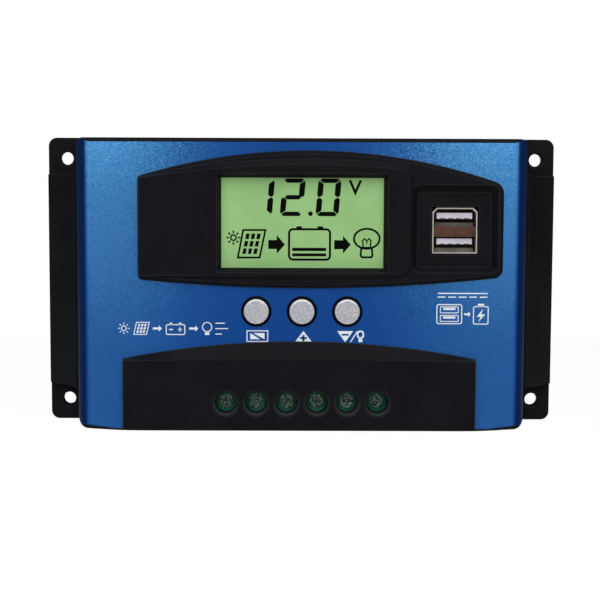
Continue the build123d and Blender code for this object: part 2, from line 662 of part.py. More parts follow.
# ---------------------------------------------------------------- terminals
def terminal_block():
    """Six single-pole modules side by side, each open to its wire, its screw and its bar."""
    group = Part()
    half = PITCH / 2 - MODULE_GAP / 2
    y_front = TERMINAL_Y - BLOCK_FRONT
    y_back = TERMINAL_Y + BLOCK_BACK
    cage_low = CAGE_FLOOR - CAGE_PLATE - GAP
    cage_half_w = CAGE_W / 2 + GAP
    cage_half_l = CAGE_L / 2 + GAP
    funnel_half = CAGE_WINDOW_W / 2 + GAP
    neck_d = SCREW_HEAD_D - 0.5
    for x in terminal_xs():
        module = block(x - half, x + half, y_front, y_back, MAIN_TOP, BLOCK_TOP)
        module -= block(x - cage_half_w, x + cage_half_w, TERMINAL_Y - cage_half_l,
                        TERMINAL_Y + cage_half_l, cage_low, HEAD_SEAT)
        module -= rod(SCREW_HEAD_D + 2 * GAP, x, TERMINAL_Y,
                      HEAD_SEAT - 1, HEAD_SEAT + SCREW_HEAD_H + GAP)
        module -= rod(neck_d, x, TERMINAL_Y, HEAD_SEAT, BLOCK_TOP + 1)
        module -= Pos(x, TERMINAL_Y, BLOCK_TOP - 0.2) * Cone(neck_d / 2, neck_d / 2 + 0.4, 0.4)
        module -= block(x - funnel_half, x + funnel_half, y_front - 1, TERMINAL_Y,
                        CAGE_FLOOR - 0.4, BAR_Z + 0.6)
        module -= block(x - BAR_W / 2 - GAP, x + BAR_W / 2 + GAP, TERMINAL_Y, y_back - BAR_T,
                        MAIN_TOP - 1, BAR_Z + BAR_T + 0.4)
        group += module
    return group


def contact_bars():
    """Tinned strips: flat inside each cage, then down to the board behind it."""
    group = Part()
    half = BAR_W / 2
    y_heel = TERMINAL_Y + BLOCK_BACK - BAR_T - 1.6
    for x in terminal_xs():
        group += block(x - half, x + half, TERMINAL_Y - 2.6, y_heel, BAR_Z, BAR_Z + BAR_T)
        group += block(x - half, x + half, y_heel - BAR_T, y_heel, MAIN_TOP, BAR_Z + BAR_T)
    return group


def clamp_cage(x):
    half = CAGE_W / 2
    cage = block(x - half, x + half, TERMINAL_Y - CAGE_L / 2, TERMINAL_Y + CAGE_L / 2,
                 CAGE_FLOOR - CAGE_PLATE, CAGE_HIGH)
    cage -= block(x - CAGE_WINDOW_W / 2, x + CAGE_WINDOW_W / 2, TERMINAL_Y - CAGE_L,
                  TERMINAL_Y + CAGE_L, CAGE_FLOOR, CAGE_TOP_PLATE)
    cage -= rod(SCREW_D + 2 * RUN, x, TERMINAL_Y, CAGE_TOP_PLATE - 1, CAGE_HIGH + 1)
    return cage


def terminal_screw(x):
    length = HEAD_SEAT - CAGE_TOP_PLATE
    return screw(x, TERMINAL_Y, HEAD_SEAT, SCREW_HEAD_D, SCREW_HEAD_H, SCREW_D, length)


# ---------------------------------------------------------------- USB outlet
def usb_can(inset, z0, z1):
    """Outline of the folded sheet with its two chamfered upper corners."""
    w = USB_W / 2 - inset
    h = USB_H / 2 - inset
    c = USB_CHAMFER - inset * 0.4
    face = make_face(Polyline(
        [(-w, -h), (w, -h), (w, h - c), (w - c, h), (-w + c, h), (-w, h - c)], close=True))
    return at_height(Pos(USB_X, USB_Y) * face, z0, z1)


def usb_shell():
    return usb_can(0, USB_BASE, USB_Z) - usb_can(USB_SHEET, USB_BASE - 1, USB_Z + 1)


def usb_spacer():
    """Insulating body of the outlet with the divider between the two sockets."""
    fit = USB_SHEET + 0.1
    half_w = USB_W / 2 - fit
    back = USB_BASE + USB_BACK_T
    body = usb_can(fit, USB_BASE, back)
    body += block(USB_X - half_w, USB_X + half_w, SPACER_Y - SPACER_H / 2,
                  SPACER_Y + SPACER_H / 2, back, USB_Z - 0.5)
    return body


def usb_tongues():
    group = Part()
    for y in TONGUE_YS:
        group += block(USB_X - TONGUE_W / 2, USB_X + TONGUE_W / 2, y - TONGUE_T / 2,
                       y + TONGUE_T / 2, USB_BASE + USB_BACK_T, USB_Z - TONGUE_BACK)
    return group


def usb_contacts():
    """Four gold strips under each tongue; the outer two reach further out."""
    group = Part()
    for y in TONGUE_YS:
        for place, reach in ((-3.5, 0.9), (-1.0, 1.9), (1.0, 1.9), (3.5, 0.9)):
            x = USB_X + place
            low = y - TONGUE_T / 2
            group += block(x - 0.5, x + 0.5, low - 0.3, low, USB_BASE + USB_BACK_T,
                           USB_Z - TONGUE_BACK - reach)
    return group


# ---------------------------------------------------------------- write the pieces
save("base_shell", base_shell())
save("front_cover", front_cover())
save("display_bezel", display_bezel())
save("terminal_fascia", terminal_fascia())
save("heat_sink", heat_sink())
save("heat_sink_screws", sink_screws())
save("thermal_pad", thermal_pad())
save("power_transistors", mosfets())
save("main_board", main_board())
save("main_board_screws", main_screws())
save("capacitors", capacitors())
save("buck_inductor", inductor())
save("current_shunt", shunt())
save("controller_chip", controller_chip())
save("blocking_diodes", diodes())
link_ys = [LINK_Y + PIN_PITCH * n for n in range(LINK_PINS)]
link_pins, link_header = pin_rows((VIEW_LEFT + 4.0,), link_ys, MAIN_TOP, VIEW_Z)
save("board_link_pins", link_pins)
save("board_link_header", link_header)
save("display_board", display_board())
save("display_board_screws", display_screws())
save("lcd_frame", lcd_frame())
save("lcd_backlight", lcd_layer(0, LCD_Z - GLASS_T - LIGHT_T, LCD_Z - GLASS_T))
save("lcd_glass", lcd_layer(0, LCD_Z - GLASS_T, LCD_Z))
save("switch_bodies", switch_bodies())
for n, x in enumerate(BUTTON_XS, start=1):
    save(f"button_cap_{n}", button_cap(x))
    save(f"switch_plunger_{n}", switch_plunger(x))
save("terminal_block", terminal_block())
save("contact_bars", contact_bars())
for n, x in enumerate(terminal_xs(), start=1):
    save(f"clamp_cage_{n}", clamp_cage(x))
    save(f"terminal_screw_{n}", terminal_screw(x))
usb_low = USB_Y - USB_BOARD_H / 2
save("usb_board", block(USB_X - USB_BOARD_W / 2, USB_X + USB_BOARD_W / 2, usb_low,
                        usb_low + USB_BOARD_H, USB_BASE - BOARD_T, USB_BASE))
usb_pins, usb_header = pin_rows([USB_X + (n - 1.5) * PIN_PITCH for n in range(4)],
                                (usb_low + 3,), MAIN_TOP, USB_BASE - BOARD_T)
save("usb_link_pins", usb_pins)
save("usb_link_header", usb_header)
save("usb_shell", usb_shell())
save("usb_spacer", usb_spacer())
save("usb_tongues", usb_tongues())
save("usb_contacts", usb_contacts())
case_screws = Part()
for x, y in four(CASE_POST_X, CASE_POST_Y):
    case_screws += screw(x, y, CASE_SEAT_Z, CASE_HEAD_D, 2.2, CASE_SCREW_D, CASE_SCREW_L,
                         facing=-1)
save("case_screws", case_screws)
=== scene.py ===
import math

import bmesh
import bpy
from mathutils import Matrix, Vector


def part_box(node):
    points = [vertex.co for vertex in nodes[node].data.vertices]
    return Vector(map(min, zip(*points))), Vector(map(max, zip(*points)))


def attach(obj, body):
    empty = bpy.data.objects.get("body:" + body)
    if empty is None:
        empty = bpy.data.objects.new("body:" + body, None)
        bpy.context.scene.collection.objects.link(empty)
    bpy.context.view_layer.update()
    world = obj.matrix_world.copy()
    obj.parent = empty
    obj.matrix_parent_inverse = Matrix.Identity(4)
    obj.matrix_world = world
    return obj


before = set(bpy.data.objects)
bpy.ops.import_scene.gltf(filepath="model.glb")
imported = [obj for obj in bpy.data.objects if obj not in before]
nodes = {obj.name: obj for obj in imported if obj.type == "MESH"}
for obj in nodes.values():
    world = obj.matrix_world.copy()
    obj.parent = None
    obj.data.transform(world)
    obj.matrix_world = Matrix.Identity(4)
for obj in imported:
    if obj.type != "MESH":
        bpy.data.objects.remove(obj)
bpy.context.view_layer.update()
MM = 0.001

# Surfaces that carry print, relief and linings, as heights above the wall in mm.
GLASS_FACE = -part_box("lcd_glass")[0][1] / MM
PLATEAU = -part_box("terminal_fascia")[0][1] / MM
FASCIA_BACK = -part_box("terminal_fascia")[1][1] / MM
PAINT_FACE = -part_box("front_cover")[0][1] / MM

# The painted cover and where its enamel ends, in metres.
COVER_DRAFT = 2.5 * MM                # how far its side walls lean out from the face to the foot
FACE_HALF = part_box("front_cover")[1][0] - COVER_DRAFT
COVER_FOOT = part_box("front_cover")[0][2]
STRIP_MIDDLE = COVER_FOOT + 1.6 * MM  # top of the bare strip along the lower edge, in the middle
STRIP_CORNER = COVER_FOOT + 3.0 * MM  # and at the corners
STRIP_BEND = (FACE_HALF - 14 * MM, FACE_HALF - 3 * MM)      # where it widens from the one to the other
SPRAY_REACH = -(PAINT_FACE - 2.0) * MM           # the spray reaches this far back inside a slot
SPRAY_END = -(PAINT_FACE - 2.5) * MM             # and fades out here
SIDE_WALL = (FACE_HALF - 6 * MM, FACE_HALF - 7 * MM)        # side walls stand outside this, slots inside
PAINTED_FACE_Y = -PAINT_FACE * MM
CAP_FADE = 0.1 * MM                   # a button's painted shade fades in over this much before and behind the cover's face

# Pattern sizes in mm. The first four are drawn coarser than real, because real ones wouldn't show.
SPARK_GRAIN = 0.16                    # grain left by a spark-eroded tool, really about 0.05
FLAKE = 0.25                          # flakes in the blue enamel, really about 0.05
SILVER_FLAKE = 0.3                    # flakes in the silver lacquer, really about 0.05
SCREW_GLINT = 0.45                    # painted glints and green reflection on the screw heads, really finer
MOULD_GRAIN = 0.2                     # fine grain of the small mouldings
FLOW_MARK = 14.0                      # soft flow marks in moulded ABS
COLOUR_DRIFT = 3.0                    # slight change of colour or shine over a small part
SPRAY_CLOUD = 18.0                    # clouding of the enamel's ground coat
CELL_CLOUD = 16.0                     # clouding of the lit display cell
GLASS_SPECK = 0.25                    # unevenness of its glass
INK_SPECK = 0.5                       # unevenness of ink
GLASS_WEAVE = 0.3                     # weave of the laminate
TRACK_CELL = 5.0                      # from one copper area to the next
STAIN = 5.0                           # faint stains on metal
FLAKE_LEAN = 0.035                    # how much each flake leans its own way, beside a normal of length 1
FLAKE_SHARE = 0.5                     # how much of the painted face's light comes from its flakes
EDGE_ROUND = 0.35 * MM                # how near an edge, in metres, moulded ABS gets a painted highlight, a paler line

# Sockets of a Mix node that is set to colour: share, two colours in, one colour out.
SHARE, FIRST, SECOND, MIXED = 0, 6, 7, 2
MIDDLE = {"From Min": 0.3, "From Max": 0.7}      # most of a noise's values lie between these


# ------------------------------------------------------------------ colours and shader nodes
def rgb(code):
    """sRGB hex to linear RGBA."""
    parts = [int(code[i:i + 2], 16) / 255 for i in (1, 3, 5)]
    return tuple(p / 12.92 if p <= 0.04045 else ((p + 0.055) / 1.055) ** 2.4 for p in parts) + (1.0,)


def add(tree, kind, values=None, links=None, out=0, stops=(), **settings):
    """One shader node with its settings, values, links and colour stops; gives the output that out names."""
    made = tree.nodes.new("ShaderNode" + kind)
    for key, value in settings.items():
        setattr(made, key, value)
    for key, value in (values or {}).items():
        made.inputs[key].default_value = value
    for key, source in (links or {}).items():
        tree.links.new(source, made.inputs[key])
    while stops and len(made.color_ramp.elements) < len(stops):
        made.color_ramp.elements.new(0.5)
    for spot, (place, code) in enumerate(stops):
        made.color_ramp.elements[spot].position = place
        made.color_ramp.elements[spot].color = rgb(code)
    return made.outputs[out] if made.outputs else None


def per(size):
    """Texture scale for a pattern whose marks are size mm across."""
    return 1 / (size * MM)


def new_material(name):
    """An empty material, its node tree, and the place on the object in metres."""
    material = bpy.data.materials.new(name)
    material.use_nodes = True
    tree = material.node_tree
    tree.nodes.clear()
    return material, tree, add(tree, "TexCoord", out="Object")


# ------------------------------------------------------------------ finishes
def moulded_abs(name, low, high, edge_glint):
    """Black ABS from a spark-eroded tool: a satin, nearly dead black with soft flow marks. Its edges get a
    painted highlight, a paler line, and the third argument says how strongly."""
    material, tree, place = new_material(name)
    grain = add(tree, "TexNoise", {"Scale": per(SPARK_GRAIN), "Detail": 3.0, "Roughness": 0.6},
                {"Vector": place})
    flow = add(tree, "TexNoise", {"Scale": per(FLOW_MARK), "Detail": 3.0, "Roughness": 0.55},
               {"Vector": place})
    colour = add(tree, "ValToRGB", links={"Fac": flow}, stops=((0.3, low), (0.7, high)))
    # Painted highlight: a paler line along the edges, where the bevelled normal turns away from the true one.
    rounded = add(tree, "Bevel", {"Radius": EDGE_ROUND}, samples=4)
    facing = add(tree, "NewGeometry", out="Normal")
    same = add(tree, "VectorMath", links={0: rounded, 1: facing}, out="Value", operation="DOT_PRODUCT")
    edge = add(tree, "MapRange", {"From Min": 0.985, "From Max": 0.90, "To Max": edge_glint}, {"Value": same})
    colour = add(tree, "Mix", {SECOND: rgb("#4A4B50")}, {SHARE: edge, FIRST: colour}, MIXED,
                 data_type="RGBA")
    rough = add(tree, "MapRange", {**MIDDLE, "To Min": 0.44, "To Max": 0.56}, {"Value": flow})
    normal = add(tree, "Bump", {"Distance": 0.012 * MM, "Strength": 0.5}, {"Height": grain})
    surface = add(tree, "BsdfPrincipled", {"Specular IOR Level": 0.05},
                  {"Base Color": colour, "Roughness": rough, "Normal": normal})
    add(tree, "OutputMaterial", links={"Surface": surface})
    return material


def small_moulding(name, low, high, rough_low=0.35, rough_high=0.5, level=0.4):
    """A small moulded, cast or sintered part: one colour that drifts slightly, and a fine grain."""
    material, tree, place = new_material(name)
    drift = add(tree, "TexNoise", {"Scale": per(COLOUR_DRIFT), "Detail": 3.0}, {"Vector": place})
    grain = add(tree, "TexNoise", {"Scale": per(MOULD_GRAIN)}, {"Vector": place})
    colour = add(tree, "ValToRGB", links={"Fac": drift}, stops=((0.3, low), (0.7, high)))
    rough = add(tree, "MapRange", {**MIDDLE, "To Min": rough_low, "To Max": rough_high}, {"Value": drift})
    normal = add(tree, "Bump", {"Distance": 0.008 * MM, "Strength": 0.5}, {"Height": grain})
    surface = add(tree, "BsdfPrincipled", {"Specular IOR Level": level},
                  {"Base Color": colour, "Roughness": rough, "Normal": normal})
    add(tree, "OutputMaterial", links={"Surface": surface})
    return material


def marked_metal(name, low, high, rough_low, rough_high, streak=(1.0, 1.0, 1.0), mark=0.4):
    """Bare or plated metal: a faint stain, and marks of mark mm that streak can draw out in one direction."""
    material, tree, place = new_material(name)
    drawn = add(tree, "Mapping", {"Scale": streak}, {"Vector": place})
    marks = add(tree, "TexNoise", {"Scale": per(mark), "Detail": 4.0, "Roughness": 0.6}, {"Vector": drawn})
    stain = add(tree, "TexNoise", {"Scale": per(STAIN), "Detail": 3.0}, {"Vector": place})
    colour = add(tree, "ValToRGB", links={"Fac": stain}, stops=((0.3, low), (0.7, high)))
    rough = add(tree, "MapRange", {**MIDDLE, "To Min": rough_low, "To Max": rough_high}, {"Value": marks})
    normal = add(tree, "Bump", {"Distance": 0.004 * MM, "Strength": 0.5}, {"Height": marks})
    surface = add(tree, "BsdfPrincipled", {"Metallic": 1.0},
                  {"Base Color": colour, "Roughness": rough, "Normal": normal})
    add(tree, "OutputMaterial", links={"Surface": surface})
    return material


def thin_layer(name, low, high, level=0.3):
    """A thin flat layer, such as ink: opaque, with colour and shine slightly uneven."""
    material, tree, place = new_material(name)
    uneven = add(tree, "TexNoise", {"Scale": per(INK_SPECK), "Detail": 3.0}, {"Vector": place})
    colour = add(tree, "ValToRGB", links={"Fac": uneven}, stops=((0.3, low), (0.7, high)))
    rough = add(tree, "MapRange", {**MIDDLE, "To Min": 0.52, "To Max": 0.68}, {"Value": uneven})
    normal = add(tree, "Bump", {"Distance": 0.006 * MM, "Strength": 0.4}, {"Height": uneven})
    surface = add(tree, "BsdfPrincipled", {"Specular IOR Level": level},
                  {"Base Color": colour, "Roughness": rough, "Normal": normal})
    add(tree, "OutputMaterial", links={"Surface": surface})
    return material


def painted_glint_steel():
    """Cold-headed steel: dark heads with painted glints as small bright specks, and a painted green
    reflection of the block round them.
    """
    material, tree, place = new_material("steel_with_painted_green_glints")
    glint_pattern = add(tree, "TexNoise", {"Scale": per(SCREW_GLINT), "Detail": 3.0, "Roughness": 0.7},
                 {"Vector": place})
    # Painted reflection and glints: green from the block round the heads, and bright specks.
    colour = add(tree, "ValToRGB", links={"Fac": glint_pattern},
                 stops=((0.38, "#183029"), (0.50, "#4A7568"), (0.60, "#E2F2EA")))
    rough = add(tree, "MapRange", {"From Min": 0.35, "From Max": 0.65, "To Min": 0.5, "To Max": 0.25},
                {"Value": glint_pattern})
    normal = add(tree, "Bump", {"Distance": 0.06 * MM, "Strength": 0.8}, {"Height": glint_pattern})
    surface = add(tree, "BsdfPrincipled", {"Metallic": 0.4, "Specular IOR Level": 0.5},
                  {"Base Color": colour, "Roughness": rough, "Normal": normal})
    add(tree, "OutputMaterial", links={"Surface": surface})
    return material


def sprayed_enamel():
    """Metallic blue enamel, sprayed over black ABS: a deep blue ground under pale flakes that glitter where
    they face the light. The side walls get painted shade: a darker blue without flakes. The walls above and
    below, a strip along the lower edge and the insides of the slots are bare."""
    material, tree, place = new_material("sprayed_metallic_blue_enamel")
    facing = add(tree, "NewGeometry", out="Normal")
    at_x = add(tree, "SeparateXYZ", links={"Vector": place}, out="X")
    at_y = add(tree, "SeparateXYZ", links={"Vector": place}, out="Y")
    at_z = add(tree, "SeparateXYZ", links={"Vector": place}, out="Z")
    from_middle = add(tree, "Math", links={0: at_x}, operation="ABSOLUTE")

    # Walls that face up or down are bare.
    upright = add(tree, "SeparateXYZ", links={"Vector": facing}, out="Z")
    upright = add(tree, "Math", links={0: upright}, operation="ABSOLUTE")
    walls = add(tree, "MapRange", {"From Min": 0.25, "From Max": 0.45}, {"Value": upright})

    # So is a strip along the lower edge, which widens towards the corners.
    strip_top = add(tree, "MapRange", {"From Min": STRIP_BEND[0], "From Max": STRIP_BEND[1],
                                       "To Min": STRIP_MIDDLE, "To Max": STRIP_CORNER},
                    {"Value": from_middle})
    above = add(tree, "Math", links={0: at_z, 1: strip_top}, operation="SUBTRACT")
    strip = add(tree, "MapRange", {"From Min": 0.15 * MM, "From Max": -0.15 * MM}, {"Value": above})
    near_black = add(tree, "Math", links={0: walls, 1: strip}, operation="MAXIMUM")

    # And so are the slots: whatever lies behind the face and away from the side walls.
    behind = add(tree, "MapRange", {"From Min": SPRAY_REACH, "From Max": SPRAY_END}, {"Value": at_y})
    between = add(tree, "MapRange", {"From Min": SIDE_WALL[0], "From Max": SIDE_WALL[1]},
                  {"Value": from_middle})
    cut = add(tree, "Math", links={0: behind, 1: between}, operation="MULTIPLY")
    near_black = add(tree, "Math", links={0: near_black, 1: cut}, operation="MAXIMUM")

    # Painted shade: side walls, which face sideways, are darkened towards a deep blue.
    sideways = add(tree, "SeparateXYZ", links={"Vector": facing}, out="X")
    sideways = add(tree, "Math", links={0: sideways}, operation="ABSOLUTE")
    side_shade = add(tree, "MapRange", {"From Min": 0.05, "From Max": 0.45}, {"Value": sideways})

    # The ground coat.
    cloud = add(tree, "TexNoise", {"Scale": per(SPRAY_CLOUD)}, {"Vector": place})
    ground = add(tree, "ValToRGB", links={"Fac": cloud}, stops=((0.3, "#0F52B6"), (0.7, "#1258BE")))
    # Painted shade on the side walls: the ground turns deep blue there.
    ground = add(tree, "Mix", {SECOND: rgb("#04214F")}, {SHARE: side_shade, FIRST: ground}, MIXED, data_type="RGBA")
    ground = add(tree, "Mix", {SECOND: rgb("#141519")}, {SHARE: near_black, FIRST: ground}, MIXED, data_type="RGBA")
    coat = add(tree, "BsdfPrincipled", {"Roughness": 0.5, "Specular IOR Level": 0.1}, {"Base Color": ground})

    # The flakes: each has its own shade, and leans a little its own way.
    cells = add(tree, "TexVoronoi", {"Scale": per(FLAKE)}, {"Vector": place}, out="Color")
    shade = add(tree, "ValToRGB", links={"Fac": cells},
                stops=((0.2, "#54ACDA"), (0.5, "#6AC0E8"), (0.8, "#82D0F0")))
    lean = add(tree, "VectorMath", {1: (0.5, 0.5, 0.5)}, {0: cells}, operation="SUBTRACT")
    lean = add(tree, "VectorMath", {"Scale": FLAKE_LEAN}, {0: lean}, operation="SCALE")
    tilted = add(tree, "VectorMath", links={0: facing, 1: lean}, operation="ADD")
    tilted = add(tree, "VectorMath", links={0: tilted}, operation="NORMALIZE")
    flakes = add(tree, "BsdfPrincipled", {"Metallic": 1.0, "Roughness": 0.15},
                 {"Base Color": shade, "Normal": tilted})

    # The flakes give none of the light where the paint is missing, nor under the painted shade of the side
    # walls.
    missing = add(tree, "Math", links={0: near_black, 1: side_shade}, operation="MAXIMUM")
    share = add(tree, "MapRange", {"To Min": FLAKE_SHARE, "To Max": 0.0}, {"Value": missing})
    mixed = add(tree, "MixShader", links={0: share, 1: coat, 2: flakes})
    add(tree, "OutputMaterial", links={"Surface": mixed})
    return material


def sprayed_silver():
    """Silver lacquer, sprayed over black ABS: a pale flaky top with a painted highlight round its rim, and
    near-black painted shade below the cover's face, where the cap sits in the gap round it."""
    material, tree, place = new_material("sprayed_silver_lacquer")
    flake = add(tree, "TexNoise", {"Scale": per(SILVER_FLAKE), "Roughness": 0.8}, {"Vector": place})
    soft = add(tree, "TexNoise", {"Scale": per(COLOUR_DRIFT)}, {"Vector": place})
    colour = add(tree, "ValToRGB", links={"Fac": flake},
                 stops=((0.35, "#A6A6AC"), (0.5, "#C8C8CE"), (0.65, "#EAEAEE")))
    facing = add(tree, "NewGeometry", out="Normal")
    forward = add(tree, "SeparateXYZ", links={"Vector": facing}, out="Y")
    # Painted highlight: round the rim, where the cap's face turns away from the front, the colour goes to
    # white.
    rim_highlight = add(tree, "MapRange", {"From Min": -0.97, "From Max": -0.75}, {"Value": forward})
    colour = add(tree, "Mix", {SECOND: rgb("#FFFFFF")}, {SHARE: rim_highlight, FIRST: colour}, MIXED, data_type="RGBA")
    # Painted shade: below the cover's face, in the gap round the cap, the colour goes near-black and loses
    # its metal.
    depth = add(tree, "SeparateXYZ", links={"Vector": place}, out="Y")
    near_black = add(tree, "MapRange",
               {"From Min": PAINTED_FACE_Y - CAP_FADE, "From Max": PAINTED_FACE_Y + CAP_FADE},
               {"Value": depth})
    colour = add(tree, "Mix", {SECOND: rgb("#08090C")}, {SHARE: near_black, FIRST: colour}, MIXED, data_type="RGBA")
    metallic = add(tree, "MapRange", {"To Min": 0.35, "To Max": 0.0}, {"Value": near_black})
    rough = add(tree, "MapRange", {**MIDDLE, "To Min": 0.34, "To Max": 0.44}, {"Value": soft})
    normal = add(tree, "Bump", {"Distance": 0.01 * MM, "Strength": 0.5}, {"Height": flake})
    surface = add(tree, "BsdfPrincipled", {"Specular IOR Level": 0.4},
                  {"Base Color": colour, "Roughness": rough, "Metallic": metallic, "Normal": normal})
    add(tree, "OutputMaterial", links={"Surface": surface})
    return material


def lit_display_cell():
    """Display cell behind polished glass, lit from the back: an even yellow-green that glows a little."""
    material, tree, place = new_material("lit_display_cell")
    cloud = add(tree, "TexNoise", {"Scale": per(CELL_CLOUD)}, {"Vector": place})
    speck = add(tree, "TexNoise", {"Scale": per(GLASS_SPECK), "Detail": 1.0}, {"Vector": place})
    colour = add(tree, "ValToRGB", links={"Fac": cloud}, stops=((0.35, "#89B274"), (0.65, "#90B97A")))
    rough = add(tree, "MapRange", {**MIDDLE, "To Min": 0.28, "To Max": 0.4}, {"Value": speck})
    surface = add(tree, "BsdfPrincipled", {"Specular IOR Level": 0.1, "Emission Strength": 0.19},
                  {"Base Color": colour, "Emission Color": colour, "Roughness": rough})
    add(tree, "OutputMaterial", links={"Surface": surface})
    return material


def coated_laminate():
    """Glass-epoxy laminate under green resist: shiny, with the weave just felt and copper tracks showing
    paler."""
    material, tree, place = new_material("coated_glass_epoxy_laminate")
    spacing = add(tree, "TexVoronoi", {"Scale": per(TRACK_CELL)}, {"Vector": place}, distance="MANHATTAN")
    colour = add(tree, "ValToRGB", links={"Fac": spacing},
                 stops=((0.30, "#0E3B22"), (0.34, "#1A5A34"), (0.40, "#1A5A34"), (0.44, "#0E3B22")))
    weave = add(tree, "TexNoise", {"Scale": per(GLASS_WEAVE)}, {"Vector": place})
    rough = add(tree, "MapRange", {**MIDDLE, "To Min": 0.25, "To Max": 0.4}, {"Value": weave})
    normal = add(tree, "Bump", {"Distance": 0.01 * MM, "Strength": 0.4}, {"Height": weave})
    surface = add(tree, "BsdfPrincipled", {"Specular IOR Level": 0.5},
                  {"Base Color": colour, "Roughness": rough, "Normal": normal})
    add(tree, "OutputMaterial", links={"Surface": surface})
    return material


# Moulded ABS: tray and raised zones are nearly the same black. The relief is a shade paler and has almost no
# painted edge highlight, so that it hardly stands out.
case_black = moulded_abs("moulded_abs_case", "#131417", "#18191C", 0.55)
zone_black = moulded_abs("moulded_abs_zones", "#131317", "#18181C", 0.55)
relief_black = moulded_abs("moulded_abs_relief", "#17171B", "#1C1C20", 0.05)

# Sprayed and coated finishes, each described at its function.
enamel = sprayed_enamel()
silver = sprayed_silver()
display_green = lit_display_cell()
laminate = coated_laminate()

# Display segments between etched electrodes: flat black with hardly any shine.
segment_black = thin_layer("etched_display_segments", "#030402", "#060704", 0.05)
# Screen-printed white ink: opaque and slightly cool.
white_ink = thin_layer("screen_printed_white_ink", "#DDE6EE", "#F4F8FB")
# Signs left open in the print: the ground colour of the enamel, seen without its flakes.
sign_blue = thin_layer("open_signs_blue_enamel", "#1C4A92", "#225399")

# Moulded nylon of the terminal block: deep green and slightly shiny.
green_nylon = small_moulding("moulded_green_nylon", "#0F553C", "#17704F", 0.28, 0.4, 0.5)
# Moulded polyester of the outlet: cool white tongues, and a dull brown divider.
white_polyester = small_moulding("moulded_white_polyester", "#C9C5D2", "#DAD6E2")
brown_polyester = small_moulding("moulded_brown_polyester", "#3E2418", "#5A3524", 0.4, 0.6)
# Moulded epoxy round chips and pins: dull near-black.
black_epoxy = small_moulding("moulded_black_epoxy", "#131315", "#1C1C1F", 0.4, 0.6)
# Moulded ABS of the display's carrier and lamp block: plain off-white.
white_abs = small_moulding("moulded_white_abs", "#C9C9C6", "#DCDCD8")
# Cast silicone: soft mid-grey with no shine.
grey_silicone = small_moulding("cast_grey_silicone", "#6D6E72", "#7E7F84", 0.7, 0.85)
# Sintered ferrite: dark grey, dry as a stone.
dark_ferrite = small_moulding("sintered_ferrite", "#26262A", "#34343A", 0.5, 0.7)

# Pressed steel, nickel plated: warm pale metal with marks drawn out along the sheet.
nickel_steel = marked_metal("nickel_plated_pressed_steel", "#CFCBC2", "#E6E2D8", 0.3, 0.5, (1.0, 1.0, 6.0))
# Rolled spring steel inside the sockets: dull dark grey.
spring_steel = marked_metal("rolled_spring_steel", "#5E5A56", "#76726C", 0.45, 0.6)
# Headed steel with painted glints and a painted green reflection: described at its function.
screw_steel = painted_glint_steel()
# Stamped brass: tinned pale straw, or flashed with gold on the contacts.
tinned_brass = marked_metal("tinned_stamped_brass", "#B0A68C", "#CFC6AE", 0.3, 0.45)
gold_brass = marked_metal("gold_flashed_stamped_brass", "#B8923C", "#D9B860", 0.25, 0.4)
# Milled aluminium: soft grey with long cutter marks.
milled_aluminium = marked_metal("milled_aluminium", "#B2B4B6", "#BFC1C3", 0.3, 0.45, (0.15, 1.0, 8.0), 0.8)

NODE_FINISH = {
    "base_shell": case_black,
    "front_cover": enamel,
    "display_bezel": zone_black,
    "terminal_fascia": zone_black,
    "heat_sink": milled_aluminium,
    "heat_sink_screws": nickel_steel,
    "thermal_pad": grey_silicone,
    "power_transistors": black_epoxy,
    "main_board": laminate,
    "main_board_screws": nickel_steel,
    "capacitors": black_epoxy,
    "buck_inductor": dark_ferrite,
    "current_shunt": tinned_brass,
    "controller_chip": black_epoxy,
    "blocking_diodes": black_epoxy,
    "board_link_pins": gold_brass,
    "board_link_header": black_epoxy,
    "display_board": laminate,
    "display_board_screws": nickel_steel,
    "lcd_frame": white_abs,
    "lcd_backlight": white_abs,
    "lcd_glass": display_green,
    "switch_bodies": black_epoxy,
    "terminal_block": green_nylon,
    "contact_bars": tinned_brass,
    "usb_board": laminate,
    "usb_link_pins": gold_brass,
    "usb_link_header": black_epoxy,
    "usb_shell": nickel_steel,
    "usb_spacer": brown_polyester,
    "usb_tongues": white_polyester,
    "usb_contacts": gold_brass,
    "case_screws": nickel_steel,
    "button_cap": silver,
    "switch_plunger": black_epoxy,
    "terminal_screw": screw_steel,
    "clamp_cage": nickel_steel,
}
for name, thing in nodes.items():
    for slot in thing.material_slots:
        slot.material = NODE_FINISH[name.rstrip("_0123456789")]


# ------------------------------------------------------------------ flat outlines, in mm: x, and up the face
def ribbon(points, width, closed=False):
    """Outline loops of a line of that width through points, with mitred corners."""
    pts = [Vector(p) for p in points]
    count = len(pts)
    left, right = [], []
    for i, p in enumerate(pts):
        before = (p - pts[i - 1]) if (closed or i > 0) else (pts[1] - p)
        after = (pts[(i + 1) % count] - p) if (closed or i < count - 1) else (p - pts[i - 1])
        before.normalize()
        after.normalize()
        side = Vector((-(before.y + after.y), before.x + after.x))
        if side.length < 1e-6:
            side = Vector((-after.y, after.x))
        side.normalize()
        square = Vector((-after.y, after.x))
        reach = width / 2 / max(abs(side.dot(square)), 0.4)
        left.append(p + side * reach)
        right.append(p - side * reach)
    if closed:
        return [left, right]
    return [left + right[::-1]]


def round_points(centre, radius, steps, squeeze=1.0):
    """Points round a circle, or round an oval where its height is squeezed."""
    turns = [2 * math.pi * k / steps for k in range(steps)]
    return [(centre[0] + radius * math.cos(a), centre[1] + squeeze * radius * math.sin(a)) for a in turns]


def ring(centre, radius, width, steps=28, squeeze=1.0):
    """Round line."""
    return ribbon(round_points(centre, radius, steps, squeeze), width, closed=True)


def bar(x0, x1, z0, z1):
    """Solid rectangle."""
    return [[(x0, z0), (x1, z0), (x1, z1), (x0, z1)]]


